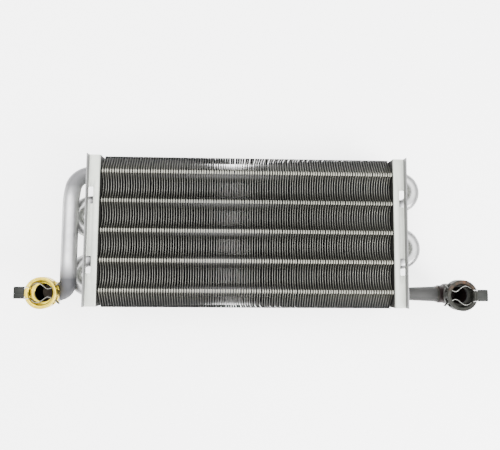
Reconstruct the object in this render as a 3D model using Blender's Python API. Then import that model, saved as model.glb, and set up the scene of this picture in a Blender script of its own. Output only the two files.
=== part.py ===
"""Finned-tube main heat exchanger of a gas boiler.

Five water tubes run across a pack of scalloped fins between two flanged end plates. Return bends join
the tubes into one long path. An inlet pipe and an outlet pipe lead to two round sockets, and in each
socket a spring clip slides out sideways to let the connected pipe go.

The fins are cut from thin sheet. Here five neighbouring fins are pressed into one plate of their joint
thickness, so the pack keeps its outline, its open gaps and its mass.

Axes: X along the tubes, Y across the tubes, Z from the flue side (down) to the burner side (up).
"""

import math

import bmesh
import bpy
from mathutils import Matrix, Vector

MM = 0.001

# Driving dimensions -----------------------------------------------------------------------------------
GAP = 0.3 * MM  # clearance between pieces that touch

TUBE_COUNT = 5
TUBE_PITCH = 34 * MM
TUBE_RADIUS = 7.5 * MM
TUBE_WALL = 0.8 * MM
TUBE_HEIGHT = 37.5 * MM  # of the tubes' axes above the flue side
ROUND_SIDES = 12

PLATE_INSIDE = 168.6 * MM  # from the middle of the pack to an end plate
PLATE_SHEET = 1.0 * MM
PLATE_HALF_WIDTH = 86 * MM
PLATE_HEIGHT = 63 * MM
FLANGE_WIDTH = 13.4 * MM
LIP_HEIGHT = 8.3 * MM
SLOT_CENTRE = 39.3 * MM
SLOT_LENGTH = 19.5 * MM
SLOT_WIDTH = 5.6 * MM

FIN_COUNT = 115
FINS_PER_GROUP = 5
FIN_PITCH = 2.92 * MM
FIN_SHEET = 0.4 * MM
FIN_HALF_WIDTH = 87.6 * MM
FIN_BOTTOM = 2 * MM
FIN_EDGE_TOP = 49 * MM
FIN_CREST = 62 * MM
CREST_FLAT = 3 * MM
VALLEY_DEPTH = 8 * MM
VALLEY_POINTS = 3
BORE_SIDES = 8

BEND_START = 183.2 * MM  # where a return bend begins to curve
BEND_STEPS = 7
TUBE_END = 172.2 * MM

BRAZE_RADIUS = 10 * MM
BRAZE_LENGTH = 4.1 * MM

STRIP_HALF_WIDTH = 6 * MM
STRIP_SHEET = 0.8 * MM
STRIP_LENGTH = 316 * MM
STRIP_TURNS = 2
STRIP_STEPS = 18

PIPE_RADIUS = 9 * MM
PIPE_SWAGED_RADIUS = 9.5 * MM
PIPE_WALL = 1 * MM
RUN_X = -202.4 * MM  # the inlet pipe's long run beside the pack
RUN_HEIGHT = 54.8 * MM
TOP_BEND_RADIUS = 18.5 * MM
ELBOW_RADIUS = 12 * MM
INLET_LOW_HEIGHT = 46 * MM
OUTLET_RADIUS_AT_SOCKET = 9.1 * MM

SOCKET_Y = -70.8 * MM
INLET_X = -226.5 * MM
OUTLET_X = 243.3 * MM
SOCKET_TOP = 72 * MM
SOCKET_SIDES = 24
CUP_RADIUS = 17.5 * MM
CUP_BORE = 13 * MM
CUP_DEPTH = 13.2 * MM
CUP_EDGE = 0.8 * MM
BODY_RADIUS = 12.2 * MM
BODY_BORE = 9.8 * MM
STEP_DEPTH = 10 * MM
GROOVE_TOP = 10.4 * MM
GROOVE_BOTTOM = 12.4 * MM
GROOVE_RADIUS = 11.8 * MM
RING_RADIUS = 10.5 * MM
RING_SECTION = 0.9 * MM
PIPE_SEAT = 10.3 * MM  # from the socket's axis to the step the pipe ends at

WINDOW_TOP = 2.1 * MM
WINDOW_BOTTOM = 9 * MM
PILLAR_HALF = 3.4 * MM
NEAR_WINDOW_HALF = 11.7 * MM
FAR_WINDOW_HALF = 12.7 * MM

CLIP_SHEET = 0.8 * MM
CLIP_TOP = 2.6 * MM
CLIP_BOTTOM = 8.4 * MM
CLIP_TAB_END = 30 * MM
CLIP_TAB_START = 18.2 * MM
LEG_STRAIGHT = 6.2 * MM
LEG_STRAIGHT_END = 14 * MM
BULGE = (-4.5 * MM, 10.7 * MM)
NECK = (7.2 * MM, 4.4 * MM)
TIP = (19.2 * MM, 12 * MM)
LEG_STEPS = 6

# The origin is the middle of the object's footprint; the pack's own middle lies this far from it.
PACK_X = -((OUTLET_X + CLIP_TAB_END) + (INLET_X - CLIP_TAB_END)) / 2
PACK_Y = -(FIN_HALF_WIDTH + (SOCKET_Y - CUP_RADIUS)) / 2

X_AXIS = Vector((1, 0, 0))
Y_AXIS = Vector((0, 1, 0))
Z_AXIS = Vector((0, 0, 1))


# Shared helpers ---------------------------------------------------------------------------------------
def clear_scene():
    for old in list(bpy.data.objects):
        bpy.data.objects.remove(old)


def make_material(name, colour, roughness, metallic):
    material = bpy.data.materials.new(name)
    material.use_nodes = True
    shader = material.node_tree.nodes["Principled BSDF"]
    shader.inputs["Base Color"].default_value = (*colour, 1)
    shader.inputs["Roughness"].default_value = roughness
    shader.inputs["Metallic"].default_value = metallic
    return material


def make_object(name, bm, material, location=(0, 0, 0)):
    """Turns a bmesh into a named, smooth-shaded object that hangs on the pack's frame."""
    bmesh.ops.recalc_face_normals(bm, faces=bm.faces)
    if bm.calc_volume(signed=True) < 0:
        bmesh.ops.reverse_faces(bm, faces=bm.faces)
    mesh = bpy.data.meshes.new(name)
    bm.to_mesh(mesh)
    bm.free()
    mesh.materials.append(material)
    mesh.shade_smooth()
    mesh.set_sharp_from_angle(angle=math.radians(35))
    obj = bpy.data.objects.new(name, mesh)
    obj.location = location
    obj.parent = bpy.data.objects["pack_frame"]
    bpy.context.scene.collection.objects.link(obj)
    return obj


def add_cut(obj, bm, name, operation="DIFFERENCE"):
    """Cuts a hidden shape out of an object, or joins it on."""
    cutter = make_object(name, bm, obj.data.materials[0], obj.location)
    cutter.hide_render = True
    cutter.display_type = "WIRE"
    cut = obj.modifiers.new(name, "BOOLEAN")
    cut.operation = operation
    cut.solver = "EXACT"
    cut.object = cutter


def add_box(bm, low, high):
    low = Vector(low)
    high = Vector(high)
    place = Matrix.Translation((low + high) / 2) @ Matrix.Diagonal((*(high - low), 1))
    bmesh.ops.create_cube(bm, size=1, matrix=place)


def circle_points(centre, across, up, radius, sides):
    """Points of a circle in the plane of two unit vectors."""
    turns = (math.tau * k / sides for k in range(sides))
    return [centre + across * radius * math.cos(a) + up * radius * math.sin(a) for a in turns]


def add_cylinder(bm, centre, direction, radius, length, sides=ROUND_SIDES):
    """Adds a closed cylinder that starts at a centre and runs along X or against it."""
    start = [bm.verts.new(p) for p in circle_points(centre, Y_AXIS, Z_AXIS, radius, sides)]
    base = bm.faces.new(start)
    moved = bmesh.ops.extrude_face_region(bm, geom=[base])["geom"]
    points = [v for v in moved if isinstance(v, bmesh.types.BMVert)]
    bmesh.ops.translate(bm, verts=points, vec=direction * length)


def extrude_outline(outline, holes, direction, thickness):
    """A plate with holes: closed point loops, filled and drawn out along a direction."""
    bm = bmesh.new()
    edges = []
    for loop in (outline, *holes):
        points = [bm.verts.new(p) for p in loop]
        edges += [bm.edges.new((a, b)) for a, b in zip(points, points[1:] + points[:1])]
    filled = bmesh.ops.triangle_fill(bm, use_beauty=True, use_dissolve=False, edges=edges)["geom"]
    faces = [f for f in filled if isinstance(f, bmesh.types.BMFace)]
    moved = bmesh.ops.extrude_face_region(bm, geom=faces)["geom"]
    points = [v for v in moved if isinstance(v, bmesh.types.BMVert)]
    bmesh.ops.translate(bm, verts=points, vec=direction * thickness)
    return bm


def sweep_tube(path, outer, wall, sides=ROUND_SIDES):
    """A hollow tube along a path, whose outer radius may differ at each point."""
    bm = bmesh.new()
    forward = (path[1] - path[0]).normalized()
    across = Y_AXIS.copy()
    skins = ([], [])
    for i, centre in enumerate(path):
        ahead = (path[min(i + 1, len(path) - 1)] - path[max(i - 1, 0)]).normalized()
        across = forward.rotation_difference(ahead) @ across
        forward = ahead
        up = forward.cross(across)
        for skin, radius in zip(skins, (outer[i], outer[i] - wall)):
            skin.append([bm.verts.new(p) for p in circle_points(centre, across, up, radius, sides)])
    for skin in skins:
        for ring, following in zip(skin, skin[1:]):
            bridge(bm, ring, following)
    for end in (0, -1):
        bridge(bm, skins[0][end], skins[1][end])
    return bm


def bridge(bm, ring, following):
    count = len(ring)
    for k in range(count):
        n = (k + 1) % count
        bm.faces.new((ring[k], ring[n], following[n], following[k]))


def turn_profile(profile, sides):
    """Turns a closed profile of radius and height about Z; a radius of zero is a pole."""
    bm = bmesh.new()
    rings = []
    for radius, height in profile:
        centre = Vector((0, 0, height))
        if radius == 0:
            rings.append([bm.verts.new(centre)])
        else:
            rings.append([bm.verts.new(p) for p in circle_points(centre, X_AXIS, Y_AXIS, radius, sides)])
    for ring, following in zip(rings, rings[1:] + rings[:1]):
        if len(ring) == len(following) == 1:
            continue
        if len(ring) == len(following):
            bridge(bm, ring, following)
            continue
        pole, edge = sorted((ring, following), key=len)
        for k in range(sides):
            bm.faces.new((pole[0], edge[k], edge[(k + 1) % sides]))
    return bm


def smooth_step(value):
    value = min(max(value, 0), 1)
    return value * value * (3 - 2 * value)


def row_y(row):
    """Y of a tube's axis; row 0 is the inlet's."""
    return ((TUBE_COUNT - 1) / 2 - row) * TUBE_PITCH


# End plates -------------------------------------------------------------------------------------------
def build_end_plate(name, side, material):
    """A sheet channel: wall, two outward flanges and the burner side's upturned lip."""
    outside = PLATE_INSIDE + PLATE_SHEET
    flange_end = PLATE_INSIDE + FLANGE_WIDTH
    top = PLATE_HEIGHT
    section = (
        (PLATE_INSIDE, 0),
        (flange_end, 0),
        (flange_end, PLATE_SHEET),
        (outside, PLATE_SHEET),
        (outside, top - PLATE_SHEET),
        (flange_end, top - PLATE_SHEET),
        (flange_end, top + LIP_HEIGHT),
        (flange_end - PLATE_SHEET, top + LIP_HEIGHT),
        (flange_end - PLATE_SHEET, top),
        (PLATE_INSIDE, top),
    )
    outline = [Vector((side * x, -PLATE_HALF_WIDTH, z)) for x, z in section]
    plate = make_object(name, extrude_outline(outline, (), Y_AXIS, 2 * PLATE_HALF_WIDTH), material)

    cuts = bmesh.new()
    start = min(side * PLATE_INSIDE, side * outside) - PLATE_SHEET
    for row in range(TUBE_COUNT):
        centre = Vector((start, row_y(row), TUBE_HEIGHT))
        add_cylinder(cuts, centre, X_AXIS, TUBE_RADIUS + GAP * 1.2, 3 * PLATE_SHEET)
    slot_x = sorted((side * (flange_end - PLATE_SHEET), side * (flange_end - PLATE_SHEET - SLOT_WIDTH)))
    for middle in (-SLOT_CENTRE, SLOT_CENTRE):
        low = (slot_x[0], middle - SLOT_LENGTH / 2, top - 2 * PLATE_SHEET)
        high = (slot_x[1], middle + SLOT_LENGTH / 2, top + PLATE_SHEET)
        add_box(cuts, low, high)
    add_cut(plate, cuts, name + "_cuts")


# Fins -------------------------------------------------------------------------------------------------
def fin_outline():
    """Y and Z of a fin's edge: straight below, with a crest over each tube and arcs between them."""
    half_chord = (TUBE_PITCH - CREST_FLAT) / 2
    arc_radius = (half_chord**2 + VALLEY_DEPTH**2) / (2 * VALLEY_DEPTH)
    half_angle = math.asin(half_chord / arc_radius)
    points = [(-FIN_HALF_WIDTH, FIN_BOTTOM), (FIN_HALF_WIDTH, FIN_BOTTOM), (FIN_HALF_WIDTH, FIN_EDGE_TOP)]
    for row in range(TUBE_COUNT):
        points.append((row_y(row) + CREST_FLAT / 2, FIN_CREST))
        points.append((row_y(row) - CREST_FLAT / 2, FIN_CREST))
        if row == TUBE_COUNT - 1:
            break
        middle = row_y(row + 0.5)
        centre_z = FIN_CREST - VALLEY_DEPTH + arc_radius
        for k in range(1, VALLEY_POINTS + 1):
            angle = half_angle * (1 - 2 * k / (VALLEY_POINTS + 1))
            points.append((middle + arc_radius * math.sin(angle), centre_z - arc_radius * math.cos(angle)))
    points.append((-FIN_HALF_WIDTH, FIN_EDGE_TOP))
    return points


def build_fins(material):
    thickness = FIN_SHEET * FINS_PER_GROUP
    bore = (TUBE_RADIUS + GAP) / math.cos(math.pi / BORE_SIDES)
    for group in range(FIN_COUNT // FINS_PER_GROUP):
        middle_fin = group * FINS_PER_GROUP + FINS_PER_GROUP // 2
        x = (middle_fin - (FIN_COUNT - 1) / 2) * FIN_PITCH
        outline = [Vector((-thickness / 2, y, z)) for y, z in fin_outline()]
        holes = []
        for row in range(TUBE_COUNT):
            centre = Vector((-thickness / 2, row_y(row), TUBE_HEIGHT))
            holes.append(circle_points(centre, Y_AXIS, Z_AXIS, bore, BORE_SIDES))
        plate = extrude_outline(outline, holes, X_AXIS, thickness)
        make_object(f"fin_group_{group + 1:02d}", plate, material, (x, 0, 0))


# Tubes, bends and what is in and around them -----------------------------------------------------------
def build_tubes(material):
    for row in range(TUBE_COUNT):
        ends = [Vector((-TUBE_END, 0, 0)), Vector((TUBE_END, 0, 0))]
        tube = sweep_tube(ends, [TUBE_RADIUS] * 2, TUBE_WALL)
        make_object(f"tube_{row + 1}", tube, material, (0, row_y(row), TUBE_HEIGHT))


def build_return_bends(material):
    """U bends: the right side joins rows 1-2 and 3-4, the left side rows 2-3 and 4-5."""
    for row in range(TUBE_COUNT - 1):
        side = 1 if row % 2 == 0 else -1
        half = TUBE_PITCH / 2
        path = [Vector((side * (TUBE_END + GAP), half, 0))]
        for k in range(BEND_STEPS + 1):
            angle = math.pi * k / BEND_STEPS
            path.append(Vector((side * (BEND_START + half * math.sin(angle)), half * math.cos(angle), 0)))
        path.append(Vector((side * (TUBE_END + GAP), -half, 0)))
        bend = sweep_tube(path, [TUBE_RADIUS] * len(path), TUBE_WALL)
        make_object(f"return_bend_{row + 1}", bend, material, (0, row_y(row + 0.5), TUBE_HEIGHT))


def build_braze_rings(material):
    """A ring of braze round each tube end, outside each end plate."""
    inner = TUBE_RADIUS + GAP * 1.2
    start = PLATE_INSIDE + PLATE_SHEET + GAP
    for side, side_name in ((-1, "left"), (1, "right")):
        for row in range(TUBE_COUNT):
            path = [Vector((side * start, 0, 0)), Vector((side * (start + BRAZE_LENGTH), 0, 0))]
            radii = [BRAZE_RADIUS, BRAZE_RADIUS - MM]
            ring = sweep_tapered_ring(path, radii, inner)
            make_object(f"braze_ring_{side_name}_{row + 1}", ring, material, (0, row_y(row), TUBE_HEIGHT))


def sweep_tapered_ring(path, outer, inner):
    """A short ring with a tapered outside and a straight bore."""
    bm = bmesh.new()
    loops = []
    for centre, radius in ((path[0], outer[0]), (path[1], outer[1]), (path[1], inner), (path[0], inner)):
        loops.append([bm.verts.new(p) for p in circle_points(centre, Y_AXIS, Z_AXIS, radius, ROUND_SIDES)])
    for ring, following in zip(loops, loops[1:] + loops[:1]):
        bridge(bm, ring, following)
    return bm


def build_turbulators(material):
    """A twisted strip inside each tube stirs the water."""
    for row in range(TUBE_COUNT):
        bm = bmesh.new()
        sections = []
        for k in range(STRIP_STEPS + 1):
            x = STRIP_LENGTH * (k / STRIP_STEPS - 0.5)
            angle = math.tau * STRIP_TURNS * k / STRIP_STEPS
            across = Vector((0, math.cos(angle), math.sin(angle)))
            up = Vector((0, -math.sin(angle), math.cos(angle)))
            corners = ((-1, -1), (1, -1), (1, 1), (-1, 1))
            points = [a * across * STRIP_HALF_WIDTH + b * up * STRIP_SHEET / 2 for a, b in corners]
            sections.append([bm.verts.new(p + X_AXIS * x) for p in points])
        for section, following in zip(sections, sections[1:]):
            for k in range(4):
                a, b, c, d = section[k], section[(k + 1) % 4], following[(k + 1) % 4], following[k]
                # Both broad faces fold along the same diagonal, so that they never meet.
                halves = ((a, b, d), (b, c, d)) if k == 2 else ((a, b, c), (a, c, d))
                for half in halves:
                    bm.faces.new(half)
        bm.faces.new(sections[0])
        bm.faces.new(sections[-1])
        make_object(f"turbulator_{row + 1}", bm, material, (0, row_y(row), TUBE_HEIGHT))


# Pipes ------------------------------------------------------------------------------------------------
def arc(centre, radius, start, end, steps):
    """Points in plan along an arc, from a start angle to an end angle in degrees."""
    angles = (math.radians(start + (end - start) * k / steps) for k in range(steps + 1))
    return [Vector((centre[0] + radius * math.cos(a), centre[1] + radius * math.sin(a), 0)) for a in angles]


def build_inlet_pipe(material):
    """From the first tube round a wide bend, over the return bends and through a tight elbow."""
    first = Vector((-(TUBE_END + GAP), row_y(0), 0))
    top_centre = (RUN_X + TOP_BEND_RADIUS, row_y(0) - TOP_BEND_RADIUS)
    elbow_centre = (RUN_X - ELBOW_RADIUS, SOCKET_Y + ELBOW_RADIUS)
    rise_end = Vector((RUN_X, 30 * MM, 0))
    plan = [first]
    plan += arc(top_centre, TOP_BEND_RADIUS, 90, 180, 6)
    plan.append(rise_end)
    elbow_start = len(plan)
    plan += arc(elbow_centre, ELBOW_RADIUS, 0, -90, 8)
    plan.append(Vector((INLET_X + PIPE_SEAT + GAP, SOCKET_Y, 0)))

    travelled = [0]
    for a, b in zip(plan, plan[1:]):
        travelled.append(travelled[-1] + (b - a).length)
    rise_length = travelled[elbow_start - 1] - travelled[1]
    elbow_length = travelled[-2] - travelled[elbow_start]
    path = []
    radii = []
    for point, distance in zip(plan, travelled):
        turned = (distance - travelled[elbow_start]) / elbow_length
        rise = smooth_step((distance - travelled[1]) / rise_length)
        fall = smooth_step((turned - 0.05) / 0.9)
        height = TUBE_HEIGHT + (RUN_HEIGHT - TUBE_HEIGHT) * rise - (RUN_HEIGHT - INLET_LOW_HEIGHT) * fall
        path.append(point + Z_AXIS * height)
        flare = smooth_step((distance - travelled[1]) / (6 * MM))
        swage = smooth_step((turned - 0.6) / 0.4)
        radius = TUBE_RADIUS + (PIPE_RADIUS - TUBE_RADIUS) * flare
        radii.append(radius + (PIPE_SWAGED_RADIUS - PIPE_RADIUS) * swage)
    make_object("inlet_pipe", sweep_tube(path, radii, PIPE_WALL), material)


def build_outlet_pipe(material):
    """Nearly straight: a shallow joggle, then a slow taper out to the socket's size."""
    drop = row_y(TUBE_COUNT - 1) - SOCKET_Y
    end = OUTLET_X - PIPE_SEAT - GAP
    joggle_start = 176 * MM
    joggle_end = 190 * MM
    taper_end = 227 * MM
    stations = [TUBE_END + GAP, joggle_start, 180 * MM, 183 * MM, 186 * MM, joggle_end, taper_end, end]
    path = []
    radii = []
    for x in stations:
        lowered = smooth_step((x - joggle_start) / (joggle_end - joggle_start))
        path.append(Vector((x, row_y(TUBE_COUNT - 1) - drop * lowered, TUBE_HEIGHT)))
        widened = min(max((x - joggle_end) / (taper_end - joggle_end), 0), 1)
        radii.append(TUBE_RADIUS + (OUTLET_RADIUS_AT_SOCKET - TUBE_RADIUS) * widened)
    make_object("outlet_pipe", sweep_tube(path, radii, TUBE_WALL), material)


# Sockets, seals and clips -------------------------------------------------------------------------------
def build_socket(name, x, side, pipe_height, pipe_radius, stub_radius, stub_end, material):
    """A turned cup on a narrower body. The clip's tab is on its outer side; side is -1 or 1."""
    pipe_depth = SOCKET_TOP - pipe_height
    floor = pipe_depth + BODY_BORE - MM
    base = floor + 3 * MM
    outside = (
        (0, 0),
        (CUP_RADIUS - CUP_EDGE, 0),
        (CUP_RADIUS, -CUP_EDGE),
        (CUP_RADIUS, -CUP_DEPTH + CUP_EDGE),
        (CUP_RADIUS - CUP_EDGE, -CUP_DEPTH),
        (BODY_RADIUS, -CUP_DEPTH),
        (BODY_RADIUS, -base + CUP_EDGE),
        (BODY_RADIUS - CUP_EDGE, -base),
        (0, -base),
    )
    socket = make_object(name, turn_profile(outside, SOCKET_SIDES), material, (x, SOCKET_Y, SOCKET_TOP))
    stub = bmesh.new()
    middle = Vector((0, 0, -pipe_depth))
    add_cylinder(stub, middle, X_AXIS * -side, stub_radius, stub_end)
    add_cut(socket, stub, name + "_stub", "UNION")
    inside = (
        (0, MM),
        (CUP_BORE + CUP_EDGE, MM),
        (CUP_BORE + CUP_EDGE, 0),
        (CUP_BORE, -CUP_EDGE),
        (CUP_BORE, -STEP_DEPTH),
        (BODY_BORE, -STEP_DEPTH),
        (BODY_BORE, -GROOVE_TOP),
        (GROOVE_RADIUS, -GROOVE_TOP),
        (GROOVE_RADIUS, -GROOVE_BOTTOM),
        (BODY_BORE, -GROOVE_BOTTOM),
        (BODY_BORE, -floor),
        (0, -floor),
    )
    add_cut(socket, turn_profile(inside, SOCKET_SIDES), name + "_bore")

    cuts = bmesh.new()
    reach = CUP_RADIUS + 1.5 * MM
    near = (LEG_STRAIGHT_END - 10 * MM, reach, PILLAR_HALF, NEAR_WINDOW_HALF, WINDOW_TOP, WINDOW_BOTTOM)
    far = (-reach, -0.05 * MM, PILLAR_HALF, FAR_WINDOW_HALF, WINDOW_TOP, WINDOW_BOTTOM)
    for low_u, high_u, low_v, high_v, top, bottom in (near, far):
        for half in (-1, 1):
            u = sorted((side * low_u, side * high_u))
            v = sorted((half * low_v, half * high_v))
            add_box(cuts, (u[0], v[0], -bottom), (u[1], v[1], -top))
    add_cut(socket, cuts, name + "_windows")

    slits = bmesh.new()
    for half in (-1, 1):
        u = sorted((side * (CUP_BORE - 2 * MM), side * reach))
        v = sorted((half * (LEG_STRAIGHT - 0.5 * MM), half * (LEG_STRAIGHT + 0.5 * MM)))
        add_box(slits, (u[0], v[0], -WINDOW_TOP - 0.4 * MM), (u[1], v[1], MM))
    add_cut(socket, slits, name + "_slits")

    way = bmesh.new()
    add_cylinder(way, middle, X_AXIS * -side, pipe_radius - PIPE_WALL, PIPE_SEAT + MM)
    add_cut(socket, way, name + "_way")
    seat = bmesh.new()
    start = Vector((-side * PIPE_SEAT, 0, -pipe_depth))
    add_cylinder(seat, start, X_AXIS * -side, pipe_radius + 0.5 * MM, stub_end)
    add_cut(socket, seat, name + "_seat")


def build_seal(name, x, material):
    """The ring seal in the socket's groove."""
    height = SOCKET_TOP - (GROOVE_TOP + GROOVE_BOTTOM) / 2
    sides = 6
    turns = (math.tau * k / sides for k in range(sides))
    profile = [(RING_RADIUS + RING_SECTION * math.cos(a), -RING_SECTION * math.sin(a)) for a in turns]
    make_object(name, turn_profile(profile, 16), material, (x, SOCKET_Y, height))


def round_fall(share):
    """Falls away from the round top of a bulge and ends level; from 0 to 1."""
    return share * share * (1.67 + 0.66 * share - 1.33 * share * share)


def leg_line():
    """Plan of a clip leg's middle line: along the tab, out over a bulge, in to a neck, out to its tip."""
    points = [Vector((-CLIP_TAB_END, LEG_STRAIGHT)), Vector((-LEG_STRAIGHT_END, LEG_STRAIGHT))]
    for k in range(1, LEG_STEPS + 1):
        share = k / LEG_STEPS
        points.append(Vector((BULGE[0] - (LEG_STRAIGHT_END + BULGE[0]) * (1 - share),
                              BULGE[1] - (BULGE[1] - LEG_STRAIGHT) * round_fall(1 - share))))
    for k in range(1, LEG_STEPS + 1):
        share = k / LEG_STEPS
        points.append(Vector((BULGE[0] + (NECK[0] - BULGE[0]) * share,
                              BULGE[1] - (BULGE[1] - NECK[1]) * round_fall(share))))
    for k in range(1, LEG_STEPS - 1):
        share = k / (LEG_STEPS - 2)
        points.append(Vector((NECK[0] + (TIP[0] - NECK[0]) * share,
                              NECK[1] + (TIP[1] - NECK[1]) * share**1.35)))
    return points


def leg_outline(half, side):
    """Closed outline of one leg's strip in plan."""
    line = leg_line()
    skins = ([], [])
    for i, point in enumerate(line):
        ahead = (line[min(i + 1, len(line) - 1)] - line[max(i - 1, 0)]).normalized()
        normal = Vector((-ahead.y, ahead.x))
        for skin, offset in zip(skins, (CLIP_SHEET / 2, -CLIP_SHEET / 2)):
            skin.append(point + normal * offset)
    loop = skins[0] + skins[1][::-1]
    return [Vector((-side * p.x, half * p.y, -CLIP_BOTTOM)) for p in loop]


def build_clip(name, x, side, material):
    """A folded channel of spring strip: a flat tab and two waved legs that reach through the socket."""
    location = (x, SOCKET_Y, SOCKET_TOP)
    width = CLIP_BOTTOM - CLIP_TOP
    legs = [extrude_outline(leg_outline(half, side), (), Z_AXIS, width) for half in (-1, 1)]
    clip = make_object(name, legs[0], material, location)
    add_cut(clip, legs[1], name + "_leg", "UNION")
    tab = bmesh.new()
    u = sorted((side * CLIP_TAB_START, side * (CLIP_TAB_END - 0.02 * MM)))
    half_tab = LEG_STRAIGHT
    add_box(tab, (u[0], -half_tab, -CLIP_TOP - CLIP_SHEET), (u[1], half_tab, -CLIP_TOP - 0.02 * MM))
    add_cut(clip, tab, name + "_tab", "UNION")


def main():
    clear_scene()
    frame = bpy.data.objects.new("pack_frame", None)
    frame.location = (PACK_X, PACK_Y, 0)
    bpy.context.scene.collection.objects.link(frame)

    plate_coat = make_material("plate_coat", (0.82, 0.83, 0.80), 0.45, 0.6)
    fin_coat = make_material("fin_coat", (0.42, 0.42, 0.40), 0.4, 0.8)
    pipe_coat = make_material("pipe_coat", (0.66, 0.66, 0.67), 0.4, 0.8)
    braze = make_material("braze", (0.70, 0.66, 0.58), 0.35, 0.9)
    strip_steel = make_material("strip_steel", (0.45, 0.45, 0.46), 0.4, 0.9)
    brass = make_material("brass", (0.80, 0.62, 0.22), 0.28, 1.0)
    dark_brass = make_material("dark_brass", (0.20, 0.16, 0.13), 0.5, 0.7)
    seal_rubber = make_material("seal_rubber", (0.02, 0.02, 0.02), 0.6, 0.0)
    clip_steel = make_material("clip_steel", (0.55, 0.56, 0.57), 0.3, 1.0)

    build_end_plate("end_plate_left", -1, plate_coat)
    build_end_plate("end_plate_right", 1, plate_coat)
    build_fins(fin_coat)
    build_tubes(pipe_coat)
    build_return_bends(pipe_coat)
    build_braze_rings(braze)
    build_turbulators(strip_steel)
    build_inlet_pipe(pipe_coat)
    build_outlet_pipe(pipe_coat)
    inlet = (INLET_X, -1, INLET_LOW_HEIGHT, PIPE_SWAGED_RADIUS, 11.6 * MM, 12.6 * MM)
    outlet = (OUTLET_X, 1, TUBE_HEIGHT, OUTLET_RADIUS_AT_SOCKET, 10.4 * MM, 16 * MM)
    build_socket("inlet_socket", *inlet, brass)
    build_socket("outlet_socket", *outlet, dark_brass)
    build_seal("inlet_seal", INLET_X, seal_rubber)
    build_seal("outlet_seal", OUTLET_X, seal_rubber)
    build_clip("inlet_clip", INLET_X, -1, clip_steel)
    build_clip("outlet_clip", OUTLET_X, 1, clip_steel)


main()
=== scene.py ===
"""Looks of the finned-tube boiler heat exchanger: single fins, pressed plates, pipes and turned sockets.

Sizes are in metres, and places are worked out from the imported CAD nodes.
"""

import math

import bmesh
import bpy
from mathutils import Matrix, Vector


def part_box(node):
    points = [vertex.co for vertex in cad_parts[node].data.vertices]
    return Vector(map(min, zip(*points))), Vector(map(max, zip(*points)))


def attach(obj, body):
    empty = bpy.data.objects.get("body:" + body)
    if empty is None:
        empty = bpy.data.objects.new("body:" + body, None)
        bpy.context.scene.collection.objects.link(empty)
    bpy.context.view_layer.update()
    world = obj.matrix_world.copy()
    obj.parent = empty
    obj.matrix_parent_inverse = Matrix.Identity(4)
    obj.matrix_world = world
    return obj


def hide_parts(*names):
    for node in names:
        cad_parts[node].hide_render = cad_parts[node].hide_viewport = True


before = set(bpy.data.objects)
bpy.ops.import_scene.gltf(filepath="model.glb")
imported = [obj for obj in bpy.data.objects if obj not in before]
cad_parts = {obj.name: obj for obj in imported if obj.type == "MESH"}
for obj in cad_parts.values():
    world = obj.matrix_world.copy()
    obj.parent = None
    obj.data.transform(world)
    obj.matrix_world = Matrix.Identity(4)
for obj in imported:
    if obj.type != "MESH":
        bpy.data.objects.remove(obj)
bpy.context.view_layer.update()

MM = 0.001

# Sizes and fixed values ---------------------------------------------------------------------------
GAP = 0.3 * MM  # between pieces that are brazed together
FIN_COUNT = 115
FINS_PER_GROUP = 5
FIN_PITCH = 2.92 * MM
FIN_SHEET = 0.38 * MM
FOLD_REACH = 2.35 * MM  # how far a fin's folded edges and collars stand out towards the next fin
CREST_REACH = 1.15 * MM  # the same for the lips on its crests
CREST_LIP = 4.0 * MM
CREST_CURVE = 0.13  # fall of a crest's lip towards its ends, in millimetres at one millimetre out
VALLEY_DEPTH = 8 * MM
FIN_SIDE_TOP = 49 * MM
FIN_SHOULDER = 1.2 * MM
SIDE_FOLD_LOW = 13 * MM
COLLAR_GAP = 0.35 * MM
TUBE_COUNT = 5
TUBE_PITCH = 34 * MM
TUBE_RADIUS = 7.5 * MM
TUBE_WALL = 0.8 * MM
SMOOTH_SIDES = 40
PIPE_SIDES = 56
BORE_SIDES = 64

SHEET = 1 * MM
PLATE_HEIGHT = 63 * MM
PLATE_CORNER = 1.3 * MM
SLOT_MIDDLE = 39.3 * MM
SLOT_HALF_LENGTH = 9.75 * MM
SLOT_WIDTH = 5.6 * MM
SLOT_CORNER = 1.2 * MM

BEND_START = 14.6 * MM  # straight length of a return bend outside the end plate
BEND_FOOT = 6 * MM  # first straight stretch of its path
TOP_BEND_RADIUS = 18.5 * MM
ELBOW_RADIUS = 12 * MM
PIPE_RADIUS = 9 * MM
PIPE_SWAGED_RADIUS = 9.5 * MM
PIPE_WALL = 1 * MM
PIPE_FLARE = 6 * MM
PIPE_RUN = 202.4 * MM  # from the middle of the fins to the inlet pipe's straight run
PIPE_RUN_HEIGHT = 54.8 * MM
PIPE_RISE_END = 30 * MM
INLET_HEIGHT = 46 * MM
OUTLET_END_RADIUS = 9.1 * MM
JOGGLE_START = 176 * MM
JOGGLE_END = 190 * MM
TAPER_END = 227 * MM

CUP_RADIUS = 17.5 * MM
CUP_BORE = 13 * MM
CUP_DEPTH = 13.2 * MM
CUP_ROUND = 0.9 * MM
RIM_RING = ((15.6 * MM, 0), (15.2 * MM, -0.5 * MM), (14.1 * MM, -0.6 * MM))  # turned into the rim
MOUTH_DEPTH = 1.8 * MM
BODY_RADIUS = 12.2 * MM
BODY_BORE = 9.8 * MM
BODY_FLOOR = 3 * MM  # metal left below the bore
BODY_BREAK = 0.8 * MM
STEP_DEPTH = 10 * MM
STEP_BREAK = 0.5 * MM
STEP_LAND = 0.05 * MM
GROOVE_TOP = 10.4 * MM
GROOVE_BOTTOM = 12.4 * MM
GROOVE_RADIUS = 11.8 * MM
SEAL_RADIUS = 10.5 * MM
SEAL_SECTION = 0.9 * MM
PIPE_SEAT = 10.3 * MM
INLET_STUB = (11.6 * MM, 12.6 * MM)  # radius, and distance of its end from the socket's axis
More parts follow.
